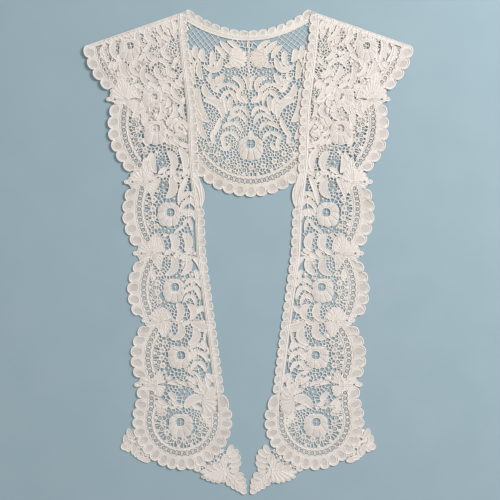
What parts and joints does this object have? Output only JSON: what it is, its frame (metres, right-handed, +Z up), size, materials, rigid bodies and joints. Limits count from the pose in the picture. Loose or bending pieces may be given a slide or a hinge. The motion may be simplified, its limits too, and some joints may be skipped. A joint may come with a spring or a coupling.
{
  "type": "lace collar",
  "caption": "Long bertha-style lace collar laid flat, with a rounded back bib, two scalloped front panels folded over at the shoulders, and leaf sprays at the points.",
  "frame": {"origin": "centre of the laid collar's bounding box, on the surface it rests on", "axes": "+X to the right as seen from above with the neck away from the viewer, +Y toward the neck, +Z up from the surface"},
  "size_m": [0.4936, 0.725, 0.0032],
  "materials": {
    "lace_thread": "matte ivory cotton needle lace",
    "shaded_thread": "matte ivory cotton lace, creamier with age",
    "edging_thread": "matte pale ivory cotton, fine gauze scallops between corded rims"
  },
  "bodies": {
    "root": {"back_panel": "shaded_thread", "neck_edging": "edging_thread", "front_left": "lace_thread", "front_right": "lace_thread", "inner_edging_left": "edging_thread", "inner_edging_right": "edging_thread", "point_spray_left": "lace_thread", "point_spray_right": "lace_thread", "corner_sprig_left": "lace_thread", "corner_sprig_right": "lace_thread"}
  },
  "joints": []
}
